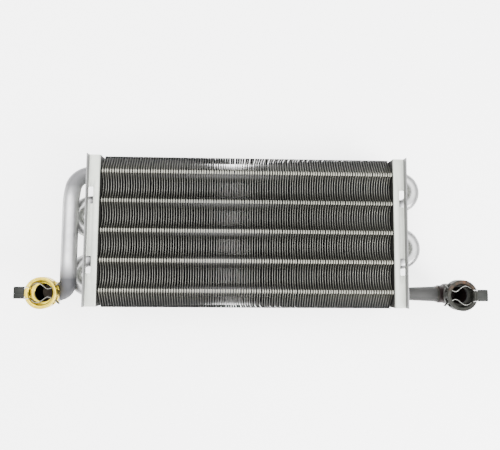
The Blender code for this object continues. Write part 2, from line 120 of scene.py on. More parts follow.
OUTLET_STUB = (10.4 * MM, 16 * MM)
PAST = 1.5 * MM  # how far a cutter reaches past the cup's wall
WINDOW_TOP = 2.1 * MM
WINDOW_BOTTOM = 9 * MM
WINDOW_INNER = 3.4 * MM
NEAR_WINDOW = (4 * MM, 11.7 * MM)  # distance from the axis, and half of the width over all
FAR_WINDOW = (0.05 * MM, 12.7 * MM)
SLIT_DEPTH = 2.5 * MM
TURNED_SIDES = 96

CLIP_SHEET = 0.8 * MM
LEG_SHEET = 0.6 * MM
CLIP_TOP = 2.6 * MM
CLIP_BOTTOM = 8.4 * MM
CLIP_TAB_END = 30 * MM
CLIP_TAB_START = 18.2 * MM
LEG_STRAIGHT = 6.2 * MM
LEG_STRAIGHT_END = 14 * MM
BULGE = (-4.5 * MM, 10.7 * MM)
NECK = (7.2 * MM, 4.4 * MM)
TIP = (19.2 * MM, 12 * MM)

CREASE = math.radians(35)
EDGE_BREAK = 0.12 * MM
PLATE_BREAK = 0.15 * MM
FLOOR_GLOW = 2
SKY_GREYS = ((0.02, 0.05), (0.35, 0.12), (0.75, 0.38), (1, 1))
SKY_STRENGTH = 7.5
CAMERA_LENS = 35.77
CAMERA_PLACE = (-17.9 * MM, -41.48 * MM, 627.14 * MM)
CAMERA_TURN = (0.0856446, -0.0371429, 0.0081005)

X_AXIS = Vector((1, 0, 0))
Y_AXIS = Vector((0, 1, 0))
Z_AXIS = Vector((0, 0, 1))

# Places taken from the CAD nodes ------------------------------------------------------------------
LEFT_PLATE = [Vector(corner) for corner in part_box("end_plate_left")]
RIGHT_PLATE = [Vector(corner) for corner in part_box("end_plate_right")]
FIRST_FIN = [Vector(corner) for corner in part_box("fin_group_01")]
TUBE_BOX = [Vector(corner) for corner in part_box("tube_3")]
PACK_X = (LEFT_PLATE[0].x + RIGHT_PLATE[1].x) / 2
PACK_Y = (LEFT_PLATE[0].y + LEFT_PLATE[1].y) / 2
TUBE_HEIGHT = (TUBE_BOX[0].z + TUBE_BOX[1].z) / 2
TUBE_HALF_LENGTH = (TUBE_BOX[1].x - TUBE_BOX[0].x) / 2
PLATE_INSIDE = RIGHT_PLATE[0].x - PACK_X
LIP_INSIDE = RIGHT_PLATE[1].x - PACK_X - SHEET
PACK_Y_REACH = (FIRST_FIN[1].y - FIRST_FIN[0].y) / 2


# Materials ----------------------------------------------------------------------------------------
def new_material(name):
    """An empty node material; returns the material, its node tree and its shader."""
    material = bpy.data.materials.new(name)
    material.use_nodes = True
    tree = material.node_tree
    return material, tree, tree.nodes["Principled BSDF"]


def add_noise(tree, scale, detail=4, roughness=0.55):
    place = tree.nodes.new("ShaderNodeTexCoord")
    noise = tree.nodes.new("ShaderNodeTexNoise")
    noise.inputs["Scale"].default_value = scale
    noise.inputs["Detail"].default_value = detail
    noise.inputs["Roughness"].default_value = roughness
    tree.links.new(place.outputs["Object"], noise.inputs["Vector"])
    return noise.outputs["Fac"]


def add_ramp(tree, source, stops):
    """Turns a value into a colour through (place, colour) stops."""
    ramp = tree.nodes.new("ShaderNodeValToRGB")
    elements = ramp.color_ramp.elements
    while len(elements) < len(stops):
        elements.new(0.5)
    for element, (place, colour) in zip(elements, stops):
        element.position = place
        element.color = (*colour, 1)
    tree.links.new(source, ramp.inputs["Fac"])
    return ramp.outputs["Color"]


def add_range(tree, source, low, high, to_low, to_high):
    node = tree.nodes.new("ShaderNodeMapRange")
    for socket, value in zip(("From Min", "From Max", "To Min", "To Max"), (low, high, to_low, to_high)):
        node.inputs[socket].default_value = value
    tree.links.new(source, node.inputs["Value"])
    return node.outputs["Result"]


def add_mix(tree, factor, first, second):
    """Mixes two colours, each a link or a plain colour."""
    node = tree.nodes.new("ShaderNodeMix")
    node.data_type = "RGBA"
    tree.links.new(factor, node.inputs["Factor"])
    for socket, value in ((node.inputs[6], first), (node.inputs[7], second)):
        if isinstance(value, tuple):
            socket.default_value = (*value, 1)
        else:
            tree.links.new(value, socket)
    return node.outputs[2]


def add_mix_value(tree, factor, first, second):
    """Blends from a value towards a plain number."""
    node = tree.nodes.new("ShaderNodeMix")
    tree.links.new(factor, node.inputs["Factor"])
    tree.links.new(first, node.inputs["A"])
    node.inputs["B"].default_value = second
    return node.outputs["Result"]


def add_bump(tree, source, strength, distance, before=None):
    bump = tree.nodes.new("ShaderNodeBump")
    bump.inputs["Strength"].default_value = strength
    bump.inputs["Distance"].default_value = distance
    tree.links.new(source, bump.inputs["Height"])
    if before is not None:
        tree.links.new(before, bump.inputs["Normal"])
    return bump.outputs["Normal"]


def add_object_axis(tree, axis):
    """The object's own X, Y or Z as a value."""
    place = tree.nodes.new("ShaderNodeTexCoord")
    split = tree.nodes.new("ShaderNodeSeparateXYZ")
    tree.links.new(place.outputs["Object"], split.inputs["Vector"])
    return split.outputs[axis]


def add_math(tree, operation, first, second):
    node = tree.nodes.new("ShaderNodeMath")
    node.operation = operation
    tree.links.new(first, node.inputs[0])
    tree.links.new(second, node.inputs[1])
    return node.outputs["Value"]


def add_distance(tree, axis):
    """How far along its own axis a place lies from the object's origin, on either side."""
    distance = tree.nodes.new("ShaderNodeMath")
    distance.operation = "ABSOLUTE"
    tree.links.new(add_object_axis(tree, axis), distance.inputs[0])
    return distance.outputs["Value"]


def stain_and_shade(material, mask, colour):
    """Mixes a plain colour over a material's own, where a mask is one; used both for real stains and for
    painted shade.
    """
    tree = material.node_tree
    target = tree.nodes["Principled BSDF"].inputs["Base Color"]
    tree.links.new(add_mix(tree, mask, target.links[0].from_socket, colour), target)


def coat_material(name, pale, dull, metallic, roughness, grain=0.25):
    """Silver coat on copper: cloudy patches, a fine grain and an uneven gloss."""
    material, tree, shader = new_material(name)
    clouds = add_noise(tree, 38, 5)
    grain_noise = add_noise(tree, 1500, 3, 0.6)
    colour = add_ramp(tree, clouds, ((0.32, dull), (0.62, pale)))
    tree.links.new(colour, shader.inputs["Base Color"])
    gloss = add_range(tree, add_noise(tree, 160, 4), 0.3, 0.7, roughness - 0.07, roughness + 0.09)
    tree.links.new(gloss, shader.inputs["Roughness"])
    shader.inputs["Metallic"].default_value = metallic
    shader.inputs["Specular Tint"].default_value = (0.25, 0.25, 0.25, 1)
    soft = add_bump(tree, clouds, 0.15, 0.6 * MM)
    tree.links.new(add_bump(tree, grain_noise, grain, 0.08 * MM, soft), shader.inputs["Normal"])
    return material


def plate_material():
    """The end plates' coat, with painted shade on the wall that faces the fins and on the lip."""
    material = coat_material("plate_silver", (0.52, 0.54, 0.49), (0.45, 0.47, 0.425), 0.45, 0.38)
    tree = material.node_tree
    distance = add_distance(tree, "X")
    # painted shade: the wall's face towards the fins is made near black
    inside = add_range(tree, distance, PLATE_INSIDE + 0.1 * MM, PLATE_INSIDE + 0.4 * MM, 1, 0)
    stain_and_shade(material, inside, (0.045, 0.045, 0.042))
    # painted shade: the lip above the upper flange is made darker
    beyond = add_range(tree, distance, LIP_INSIDE - 0.3 * MM, LIP_INSIDE, 0, 1)
    above = add_range(tree, add_object_axis(tree, "Z"), PLATE_HEIGHT, PLATE_HEIGHT + 0.5 * MM, 0, 1)
    stain_and_shade(material, add_math(tree, "MULTIPLY", beyond, above), (0.20, 0.20, 0.20))
    return material


def pipe_material():
    """The inlet pipe's coat: heat has dulled its elbow, and its wide bend is darker and less metallic as
    painted shade.
    """
    metallic = 0.86
    pale = (0.50, 0.50, 0.505)
    material = coat_material("inlet_pipe_silver", pale, (0.40, 0.40, 0.41), metallic, 0.36, 0.04)
    tree = material.node_tree
    shader = tree.nodes["Principled BSDF"]
    along = add_object_axis(tree, "Y")
    # painted shade: the wide bend is made darker
    bend = add_range(tree, along, PACK_Y + 34 * MM, PACK_Y + 52 * MM, 0, 0.9)
    stain_and_shade(material, bend, (0.125, 0.125, 0.131))
    elbow = add_range(tree, along, PACK_Y - 36 * MM, PACK_Y - 56 * MM, 0, 1)
    stain_and_shade(material, elbow, (0.062, 0.062, 0.067))
    dulled_and_shaded = add_math(tree, "ADD", elbow, bend)
    tree.links.new(add_range(tree, dulled_and_shaded, 0, 1, metallic, 0.2), shader.inputs["Metallic"])
    gloss = shader.inputs["Roughness"].links[0].from_socket
    tree.links.new(add_mix_value(tree, elbow, gloss, 0.55), shader.inputs["Roughness"])
    return material


def bend_material():
    """The return bends' coat, with painted shade where it runs in under the end plate's flange."""
    material = coat_material("bend_silver", (0.42, 0.42, 0.42), (0.28, 0.28, 0.28), 0.88, 0.33, 0.05)
    tree = material.node_tree
    # painted shade: the bend is made dark where it runs in under the flange
    under = add_range(tree, add_distance(tree, "X"), LIP_INSIDE, LIP_INSIDE + 5 * MM, 1, 0)
    stain_and_shade(material, under, (0.07, 0.07, 0.072))
    return material


def fin_material():
    """The coat on the fins, painted darker than the plates' silver as shade between close-set fins and
    near black below the top edges; the flame's warm tint rises towards the burner side.
    """
    material, tree, shader = new_material("fin_silver")
    # painted shade: below the top edges the fins are near black, as between close-set fins
    height = add_range(tree, add_object_axis(tree, "Z"), 46 * MM, 61 * MM, 0, 1)
    clouds = add_noise(tree, 70, 4)
    deep_shade = add_ramp(tree, clouds, ((0.3, (0.075, 0.075, 0.078)), (0.7, (0.115, 0.115, 0.118))))
    warm = add_ramp(tree, clouds, ((0.3, (0.18, 0.18, 0.155)), (0.7, (0.27, 0.265, 0.225))))
    tree.links.new(add_mix(tree, height, deep_shade, warm), shader.inputs["Base Color"])
    shader.inputs["Metallic"].default_value = 0.75
    gloss = add_range(tree, add_noise(tree, 300, 3), 0.3, 0.7, 0.30, 0.48)
    tree.links.new(gloss, shader.inputs["Roughness"])
    tree.links.new(add_bump(tree, add_noise(tree, 900, 3), 0.2, 0.1 * MM), shader.inputs["Normal"])
    return material


def add_bore_shade(tree):
    """Mask for painted shade deep in a socket's bore: one inside it and nought elsewhere, fading over a
    few tenths of a millimetre.
    """
    place = tree.nodes.new("ShaderNodeTexCoord")
    flat = tree.nodes.new("ShaderNodeVectorMath")
    flat.operation = "MULTIPLY"
    flat.inputs[1].default_value = (1, 1, 0)
    tree.links.new(place.outputs["Object"], flat.inputs[0])
    radius = tree.nodes.new("ShaderNodeVectorMath")
    radius.operation = "LENGTH"
    tree.links.new(flat.outputs["Vector"], radius.inputs[0])
    narrow = add_range(tree, radius.outputs["Value"], BODY_BORE + 0.4 * MM, BODY_BORE + 0.7 * MM, 1, 0)
    height = add_object_axis(tree, "Z")
    low = add_range(tree, height, -STEP_DEPTH - 0.4 * MM, -STEP_DEPTH + 0.2 * MM, 1, 0)
    return add_math(tree, "MULTIPLY", narrow, low)


def turned_material(name, bright, dull, roughness):
    """Lathe-turned brass: fine rings round the axis, with a little tarnish and painted shade deep in the
    bore.
    """
    material, tree, shader = new_material(name)
    place = tree.nodes.new("ShaderNodeTexCoord")
    rings = tree.nodes.new("ShaderNodeTexWave")
    rings.wave_type = "RINGS"
    rings.rings_direction = "Z"
    rings.inputs["Scale"].default_value = 620
    rings.inputs["Distortion"].default_value = 0.6
    tree.links.new(place.outputs["Object"], rings.inputs["Vector"])
    tarnish = add_noise(tree, 190, 5)
    turned = add_ramp(tree, tarnish, ((0.35, dull), (0.58, bright)))
    # painted shade: the bore is made near black
    colour = add_mix(tree, add_bore_shade(tree), turned, (0.012, 0.010, 0.008))
    tree.links.new(colour, shader.inputs["Base Color"])
    shader.inputs["Metallic"].default_value = 1
    gloss = add_range(tree, tarnish, 0.3, 0.7, roughness + 0.12, roughness)
    tree.links.new(gloss, shader.inputs["Roughness"])
    marks = add_bump(tree, rings.outputs["Fac"], 0.06, 0.05 * MM)
    tree.links.new(add_bump(tree, tarnish, 0.1, 0.3 * MM, marks), shader.inputs["Normal"])
    return material


def burnt_material():
    """Heat-darkened brass: grey scale, reddish below the cup, with bare copper at the rim's far side and
    painted shade deep in the bore.
    """
    material, tree, shader = new_material("burnt_brass")
    scale = add_noise(tree, 140, 6, 0.65)
    greys = ((0.35, (0.011, 0.012, 0.010)), (0.6, (0.022, 0.022, 0.018)), (0.8, (0.045, 0.034, 0.028)))
    dark = add_ramp(tree, scale, greys)
    patches = add_noise(tree, 95, 3)
    nearness = add_range(tree, add_object_axis(tree, "Y"), 4 * MM, 17 * MM, 0, 1)
    rim = add_range(tree, add_object_axis(tree, "Z"), -7 * MM, -3 * MM, 0, 1)
    near_rim = add_math(tree, "MULTIPLY", nearness, rim)
    bare = add_math(tree, "MULTIPLY", near_rim, add_range(tree, patches, 0.42, 0.62, 0, 1))
    colour = add_mix(tree, bare, dark, (0.075, 0.034, 0.016))
    # painted shade: the bore is made near black
    colour = add_mix(tree, add_bore_shade(tree), colour, (0.006, 0.006, 0.007))
    tree.links.new(colour, shader.inputs["Base Color"])
    under = add_range(tree, add_object_axis(tree, "Z"), -CUP_DEPTH - 1 * MM, -CUP_DEPTH, 1, 0)
    stain_and_shade(material, under, (0.011, 0.006, 0.0055))
    shader.inputs["Metallic"].default_value = 0.3
    shader.inputs["Specular IOR Level"].default_value = 0.25
    tree.links.new(add_range(tree, scale, 0.3, 0.7, 0.68, 0.50), shader.inputs["Roughness"])
    tree.links.new(add_bump(tree, scale, 0.35, 0.25 * MM), shader.inputs["Normal"])
    return material


def steel_material(name, pale, dull, roughness):
    """Rolled spring strip: streaks along the strip and a fine grain."""
    material, tree, shader = new_material(name)
    place = tree.nodes.new("ShaderNodeTexCoord")
    stretch = tree.nodes.new("ShaderNodeMapping")
    stretch.inputs["Scale"].default_value = (60, 900, 900)
    streaks = tree.nodes.new("ShaderNodeTexNoise")
    streaks.inputs["Scale"].default_value = 1
    tree.links.new(place.outputs["Object"], stretch.inputs["Vector"])
    tree.links.new(stretch.outputs["Vector"], streaks.inputs["Vector"])
    source = streaks.outputs["Fac"]
    tree.links.new(add_ramp(tree, source, ((0.35, dull), (0.65, pale))), shader.inputs["Base Color"])
    shader.inputs["Metallic"].default_value = 0.9
    gloss = add_range(tree, source, 0.3, 0.7, roughness, roughness + 0.12)
    tree.links.new(gloss, shader.inputs["Roughness"])
    tree.links.new(add_bump(tree, source, 0.12, 0.05 * MM), shader.inputs["Normal"])
    return material


def rubber_material():
    material, tree, shader = new_material("seal_black")
    dust = add_noise(tree, 500, 3)
    colour = add_ramp(tree, dust, ((0.4, (0.012, 0.012, 0.012)), (0.75, (0.035, 0.035, 0.034))))
    tree.links.new(colour, shader.inputs["Base Color"])
    tree.links.new(add_range(tree, dust, 0.3, 0.7, 0.5, 0.7), shader.inputs["Roughness"])
    return material


PLATE_SILVER = plate_material()
# painted shade on the cut faces of the end plates' slots
PLATE_CUT_SHADE = coat_material("plate_cut_shade", (0.022, 0.022, 0.020), (0.014, 0.014, 0.013), 0.3, 0.5)
BEND_SILVER = bend_material()
PIPE_SILVER = pipe_material()
# a dark dull coat on the outlet pipe, and painted shade on the tubes inside the fins
PIPE_DULL_AND_SHADE = coat_material("pipe_dull_and_shade", (0.044, 0.044, 0.043), (0.030, 0.029, 0.029), 0.25, 0.55)
SOLDER_DULL = coat_material("solder_dull", (0.22, 0.22, 0.23), (0.17, 0.17, 0.18), 0.15, 0.4, 0.1)
BRAZE_SILVER = coat_material("braze_silver", (0.66, 0.64, 0.58), (0.46, 0.43, 0.36), 0.80, 0.34, 0.5)
FIN_SILVER = fin_material()
BRASS_BRIGHT = turned_material("brass_bright", (0.57, 0.44, 0.045), (0.44, 0.32, 0.03), 0.24)
BRASS_BURNT = burnt_material()
CLIP_FACE = steel_material("clip_face", (0.028, 0.029, 0.027), (0.016, 0.017, 0.016), 0.46)
CLIP_EDGE = steel_material("clip_edge", (0.27, 0.27, 0.25), (0.15, 0.15, 0.14), 0.32)
STRIP_STEEL = steel_material("strip_dark", (0.42, 0.42, 0.43), (0.28, 0.28, 0.29), 0.40)
SEAL_BLACK = rubber_material()


# Mesh helpers -------------------------------------------------------------------------------------
def smooth_step(value):
    value = min(max(value, 0), 1)
    return value * value * (3 - 2 * value)


def row_y(row):
    """Y of a tube's axis; row 0 is the inlet's."""
    return PACK_Y + ((TUBE_COUNT - 1) / 2 - row) * TUBE_PITCH


def finish_mesh(bm, name, *materials):
    """Closes a bmesh into a smooth-shaded mesh whose creases stay sharp."""
    bmesh.ops.recalc_face_normals(bm, faces=bm.faces)
    mesh = bpy.data.meshes.new(name)
    bm.to_mesh(mesh)
    bm.free()
    for material in materials:
        mesh.materials.append(material)
    mesh.shade_smooth()
    mesh.set_sharp_from_angle(angle=CREASE)
    return mesh


def add_piece(name, mesh, location, body, slot, *replaced, rotation=(0, 0, 0)):
    """Places a piece and ties it to a CAD body and the nodes it stands for; its slot is not used."""
    obj = bpy.data.objects.new(name, mesh)
    bpy.context.scene.collection.objects.link(obj)
    obj.location = location
    obj.rotation_euler = rotation
    bpy.context.view_layer.update()
    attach(obj, body)
    if replaced:
        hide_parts(*replaced)
    return obj


def bake(mesh, modifiers, cutters=()):
    """Runs modifiers, given as (kind, settings), on a mesh and returns the result as a plain mesh."""
    obj = bpy.data.objects.new(mesh.name + "_work", mesh)
    bpy.context.scene.collection.objects.link(obj)
    for kind, settings in modifiers:
        modifier = obj.modifiers.new(kind.lower(), kind)
        for key, value in settings.items():
            setattr(modifier, key, value)
    bpy.context.view_layer.update()
    evaluated = obj.evaluated_get(bpy.context.evaluated_depsgraph_get())
    result = bpy.data.meshes.new_from_object(evaluated)
    bpy.data.objects.remove(obj)
    for cutter in cutters:
        bpy.data.objects.remove(cutter)
    result.shade_smooth()
    result.set_sharp_from_angle(angle=CREASE)
    return result


def carve(mesh, bm, operation="DIFFERENCE", cut_face=None):
    """Cuts a bmesh out of a mesh, or joins it on; the cut faces may get a material of their own."""
    cutter = bpy.data.objects.new("cutter", finish_mesh(bm, "cutter", cut_face or mesh.materials[0]))
    bpy.context.scene.collection.objects.link(cutter)
    settings = {"operation": operation, "solver": "EXACT", "object": cutter}
    return bake(mesh, [("BOOLEAN", settings)], [cutter])


def soften(mesh, width, segments=2):
    """Breaks the sharp edges with a small bevel."""
    limit = {"limit_method": "ANGLE", "angle_limit": math.radians(40)}
    return bake(mesh, [("BEVEL", {"width": width, "segments": segments, **limit})])


def circle_points(centre, across, up, radius, sides):
    turns = (math.tau * k / sides for k in range(sides))
    return [centre + across * radius * math.cos(a) + up * radius * math.sin(a) for a in turns]


def bridge(bm, ring, following):
    count = len(ring)
    for k in range(count):
        n = (k + 1) % count
        bm.faces.new((ring[k], ring[n], following[n], following[k]))


def turn_profile(profile, sides=TURNED_SIDES, turned=None):
    """Turns a closed profile of radius and height about Z; a radius of zero is a pole."""
    bm = bmesh.new()
    rings = []
    for radius, height in profile:
        centre = Vector((0, 0, height))
        if radius == 0:
            rings.append([bm.verts.new(centre)])
        else:
            points = circle_points(centre, X_AXIS, Y_AXIS, radius, sides)
            rings.append([bm.verts.new(p) for p in points])
    for ring, following in zip(rings, rings[1:] + rings[:1]):
        if len(ring) == len(following) == 1:
            continue
        if len(ring) == len(following):
            bridge(bm, ring, following)
            continue
        pole, edge = sorted((ring, following), key=len)
        for k in range(sides):
            bm.faces.new((pole[0], edge[k], edge[(k + 1) % sides]))
    if turned is not None:
        bmesh.ops.transform(bm, matrix=turned, verts=bm.verts)
    return bm


def round_corners(points, radius, steps=4):
    """Rounds every corner of an open line of 2-D points."""
    rounded = [Vector(points[0])]
    for before, corner, after in zip(points, points[1:], points[2:]):
        corner = Vector(corner)
        back = (Vector(before) - corner).normalized()
        ahead = (Vector(after) - corner).normalized()
        half_angle = back.angle(ahead) / 2
        reach = radius / math.tan(half_angle)
        centre = corner + (back + ahead).normalized() * radius / math.sin(half_angle)
        start = corner + back * reach - centre
        end = corner + ahead * reach - centre
        for k in range(steps + 1):
            rounded.append(centre + start.slerp(end, k / steps).normalized() * radius)
    rounded.append(Vector(points[-1]))
    return rounded


def offset_line(line, distance):
    """The same open 2-D line moved sideways."""
    moved = []
    for i, point in enumerate(line):
        ahead = (line[min(i + 1, len(line) - 1)] - line[max(i - 1, 0)]).normalized()
        moved.append(point + Vector((-ahead.y, ahead.x)) * distance)
    return moved


def sweep_tube(path, outer, wall, sides=SMOOTH_SIDES):
    """A hollow tube along a path, whose outer radius may differ at each point."""
    bm = bmesh.new()
    forward = (path[1] - path[0]).normalized()
    across = Y_AXIS.copy()
    skins = ([], [])
    for i, centre in enumerate(path):
        ahead = (path[min(i + 1, len(path) - 1)] - path[max(i - 1, 0)]).normalized()
        across = forward.rotation_difference(ahead) @ across
        forward = ahead
        up = forward.cross(across)
        for skin, radius in zip(skins, (outer[i], outer[i] - wall)):
            points = circle_points(centre, across, up, radius, sides)
            skin.append([bm.verts.new(p) for p in points])
    for skin in skins:
        for ring, following in zip(skin, skin[1:]):
            bridge(bm, ring, following)
    for end in (0, -1):
        bridge(bm, skins[0][end], skins[1][end])
    return bm


def arc(centre, radius, start, end, steps):
    """Points in plan along an arc, from a start angle to an end angle in degrees."""
    angles = (math.radians(start + (end - start) * k / steps) for k in range(steps + 1))
    return [Vector((centre[0] + radius * math.cos(a), centre[1] + radius * math.sin(a), 0))
            for a in angles]


def add_box(bm, low, high):
    """Adds a box between two opposite corners; returns its vertices."""
    low = Vector(low)
    high = Vector(high)
    place = Matrix.Translation((low + high) / 2) @ Matrix.Diagonal((*(high - low), 1))
    return bmesh.ops.create_cube(bm, size=1, matrix=place)["verts"]


# Fins ---------------------------------------------------------------------------------------------
def fin_edge():
    """The fin's outline as runs of (Y, Z) points, each with how far its edge is folded over, or 0."""
    half_width = (FIRST_FIN[1].y - FIRST_FIN[0].y - FIN_SHEET) / 2
    bottom = FIRST_FIN[0].z
    crest = FIRST_FIN[1].z - FIN_SHEET / 2
    half_chord = (TUBE_PITCH - CREST_LIP) / 2
    arc_radius = (half_chord**2 + VALLEY_DEPTH**2) / (2 * VALLEY_DEPTH)
    half_angle = math.asin(half_chord / arc_radius)
    runs = [
        (0, [(-half_width, bottom), (half_width, bottom), (half_width, SIDE_FOLD_LOW)]),
        (FOLD_REACH, [(half_width, SIDE_FOLD_LOW + MM), (half_width, FIN_SIDE_TOP - FIN_SHOULDER)]),
        (0, [(half_width - FIN_SHOULDER, FIN_SIDE_TOP)]),
    ]
    for row in range(TUBE_COUNT):
        middle = row_y(row) - PACK_Y
        across = (CREST_LIP / 2 * share for share in (1, 0.5, 0, -0.5, -1))
        runs.append((CREST_REACH, [(middle + y, crest - CREST_CURVE * y * y / MM) for y in across]))
        if row == TUBE_COUNT - 1:
            break
        valley = middle - TUBE_PITCH / 2
        centre_z = crest - VALLEY_DEPTH + arc_radius
        angles = [half_angle * (1 - k / 6) for k in range(1, 12)]
        runs.append((0, [(valley + arc_radius * math.sin(a), centre_z - arc_radius * math.cos(a))
                         for a in angles]))
    runs.append((0, [(-half_width + FIN_SHOULDER, FIN_SIDE_TOP)]))
    runs.append((FOLD_REACH, [(-half_width, FIN_SIDE_TOP - FIN_SHOULDER), (-half_width, bottom + MM)]))
    return runs


def fold_over(bm, edges, reach):
    """Draws edges out into a fold that stands towards the next fin."""
    drawn = bmesh.ops.extrude_edge_only(bm, edges=edges)["geom"]
    points = [v for v in drawn if isinstance(v, bmesh.types.BMVert)]
    bmesh.ops.translate(bm, verts=points, vec=X_AXIS * reach)


def fin_mesh():
    """One fin: a thin sheet with a collar round each tube, a lip on each crest and folded side edges."""
    bm = bmesh.new()
    points = []
    folded = {}
    for reach, run in fin_edge():
        if reach:
            folded[len(points), len(points) + len(run) - 1] = reach
        points += [bm.verts.new((0, y, z)) for y, z in run]
    outline = [bm.edges.new(pair) for pair in zip(points, points[1:] + points[:1])]
    collars = []
    for row in range(TUBE_COUNT):
        centre = Vector((0, row_y(row) - PACK_Y, TUBE_HEIGHT))
        circle = circle_points(centre, Y_AXIS, Z_AXIS, TUBE_RADIUS + COLLAR_GAP, 24)
        ring = [bm.verts.new(p) for p in circle]
        collars.append([bm.edges.new(pair) for pair in zip(ring, ring[1:] + ring[:1])])
    every_edge = outline + [edge for ring in collars for edge in ring]
    bmesh.ops.triangle_fill(bm, use_beauty=True, use_dissolve=False, edges=every_edge)
    for (start, end), reach in folded.items():
        fold_over(bm, outline[start:end], reach)
    for ring in collars:
        fold_over(bm, ring, FOLD_REACH)
    flat = finish_mesh(bm, "fin", FIN_SILVER)
    thickness = {"thickness": FIN_SHEET, "offset": 0, "use_even_offset": True}
    return bake(flat, [("SOLIDIFY", thickness)])


def build_fins():
    """Each fin stands a little differently, as pressed fins do."""
    mesh = fin_mesh()
    for index in range(FIN_COUNT):
        x = PACK_X + (index - (FIN_COUNT - 1) / 2) * FIN_PITCH
        drift = 0.09 * MM * math.sin(index * 2.3) + 0.05 * MM * math.sin(index * 5.1)
        lean = math.radians(0.10) * math.sin(index * 1.7 + 0.4)
        turn = math.radians(0.07) * math.sin(index * 3.1 + 1.2)
        node = f"fin_group_{index // FINS_PER_GROUP + 1:02d}"
        name = f"fin_{index + 1:03d}"
        place = (x + drift, PACK_Y, 0)
        add_piece(name, mesh, place, "core", "fin_coat", node, rotation=(0, lean, turn))


# End plates ---------------------------------------------------------------------------------------
def plate_section(side):
    """Middle line of the pressed channel in X and Z: lower flange, wall, upper flange and lip."""
    half = SHEET / 2
    flange_end = (RIGHT_PLATE[1].x - RIGHT_PLATE[0].x) - half
    lip_top = RIGHT_PLATE[1].z
    corners = (
        (flange_end + half, half),
        (half, half),
        (half, PLATE_HEIGHT - half),
        (flange_end, PLATE_HEIGHT - half),
        (flange_end, lip_top),
    )
    return [Vector((side * (PLATE_INSIDE + x), z)) for x, z in corners]


def build_end_plate(name, side):
    """A pressed channel with a hole for each tube and two slots in its upper flange."""
    line = round_corners(plate_section(side), PLATE_CORNER)
    outline = offset_line(line, SHEET / 2) + offset_line(line, -SHEET / 2)[::-1]
    half_width = (LEFT_PLATE[1].y - LEFT_PLATE[0].y) / 2
    bm = bmesh.new()
    start = [bm.verts.new((p.x, -half_width, p.y)) for p in outline]
    end = [bm.verts.new((p.x, half_width, p.y)) for p in outline]
    bridge(bm, start, end)
    bm.faces.new(start)
    bm.faces.new(end)
    mesh = finish_mesh(bm, name, PLATE_SILVER)

    cuts = bmesh.new()
    wall_x = side * (PLATE_INSIDE - SHEET)
    along = Matrix.Rotation(side * math.radians(90), 4, "Y")
    hole_radius = TUBE_RADIUS + 0.45 * MM
    profile = ((0, 0), (hole_radius, 0), (hole_radius, 3 * SHEET), (0, 3 * SHEET))
    for row in range(TUBE_COUNT):
        centre = Matrix.Translation((wall_x, row_y(row) - PACK_Y, TUBE_HEIGHT))
        hole = turn_profile(profile, 48, centre @ along)
        other = bpy.data.meshes.new("hole")
        hole.to_mesh(other)
        hole.free()
        cuts.from_mesh(other)
    mesh = carve(mesh, cuts)

    slots = bmesh.new()
    outer = side * (PLATE_INSIDE + (RIGHT_PLATE[1].x - RIGHT_PLATE[0].x) - SHEET)
    inner = outer - side * SLOT_WIDTH
    for middle in (-SLOT_MIDDLE, SLOT_MIDDLE):
        low = (min(inner, outer), middle - SLOT_HALF_LENGTH, PLATE_HEIGHT - 3 * MM)
        high = (max(inner, outer), middle + SLOT_HALF_LENGTH, PLATE_HEIGHT + 2 * MM)
        corners = add_box(slots, low, high)
        upright = [e for e in slots.edges if abs(e.verts[0].co.z - e.verts[1].co.z) > MM]
        own = [e for e in upright if e.verts[0] in corners]
        bmesh.ops.bevel(slots, geom=own, offset=SLOT_CORNER, segments=4, affect="EDGES", profile=0.5)
    # the slots' cut faces get painted shade
    mesh = soften(carve(mesh, slots, cut_face=PLATE_CUT_SHADE), PLATE_BREAK)
    add_piece(name + "_pressed", mesh, (PACK_X, PACK_Y, 0), "core", "plate_coat", name)


# Tubes, bends and pipes ---------------------------------------------------------------------------
def build_tubes():
    for row in range(TUBE_COUNT):
        ends = [Vector((-TUBE_HALF_LENGTH, 0, 0)), Vector((TUBE_HALF_LENGTH, 0, 0))]
        # painted shade: the tubes inside the fins get the near-black dull pipe coat
        mesh = finish_mesh(sweep_tube(ends, [TUBE_RADIUS] * 2, TUBE_WALL), "tube", PIPE_DULL_AND_SHADE)
        place = (PACK_X, row_y(row), TUBE_HEIGHT)
        add_piece(f"tube_{row + 1}_drawn", mesh, place, "core", "pipe_coat", f"tube_{row + 1}")


def build_return_bends():
    """U bends that join neighbouring tubes, turn about at the two ends of the pack."""
    half = TUBE_PITCH / 2
    start = TUBE_HALF_LENGTH + GAP
    crown = arc((PLATE_INSIDE + BEND_START, 0), half, 90, -90, 32)
    line = [Vector((start, half, 0)), Vector((start + BEND_FOOT, half, 0)), *crown,
            Vector((start + BEND_FOOT, -half, 0)), Vector((start, -half, 0))]
    for row in range(TUBE_COUNT - 1):
        side = 1 if row % 2 == 0 else -1
        path = [Vector((side * p.x, p.y, 0)) for p in line]
        mesh = finish_mesh(sweep_tube(path, [TUBE_RADIUS] * len(path), TUBE_WALL), "bend", BEND_SILVER)
        place = (PACK_X, row_y(row + 0.5), TUBE_HEIGHT)
        node = f"return_bend_{row + 1}"
        add_piece(node + "_drawn", mesh, place, "core", "pipe_coat", node)


def fillet_ring(inner, foot, length, thickness=0.35 * MM):
    """A fillet of braze round a tube along Z: wide at its foot, thin where it runs out."""
    thin = inner + thickness
    shares = [k / 8 for k in range(9)]
    curve = [(thin + (foot - thin) * (1 - share) ** 2.2, length * share) for share in shares]
    return [(inner, 0), *curve, (inner, length)]


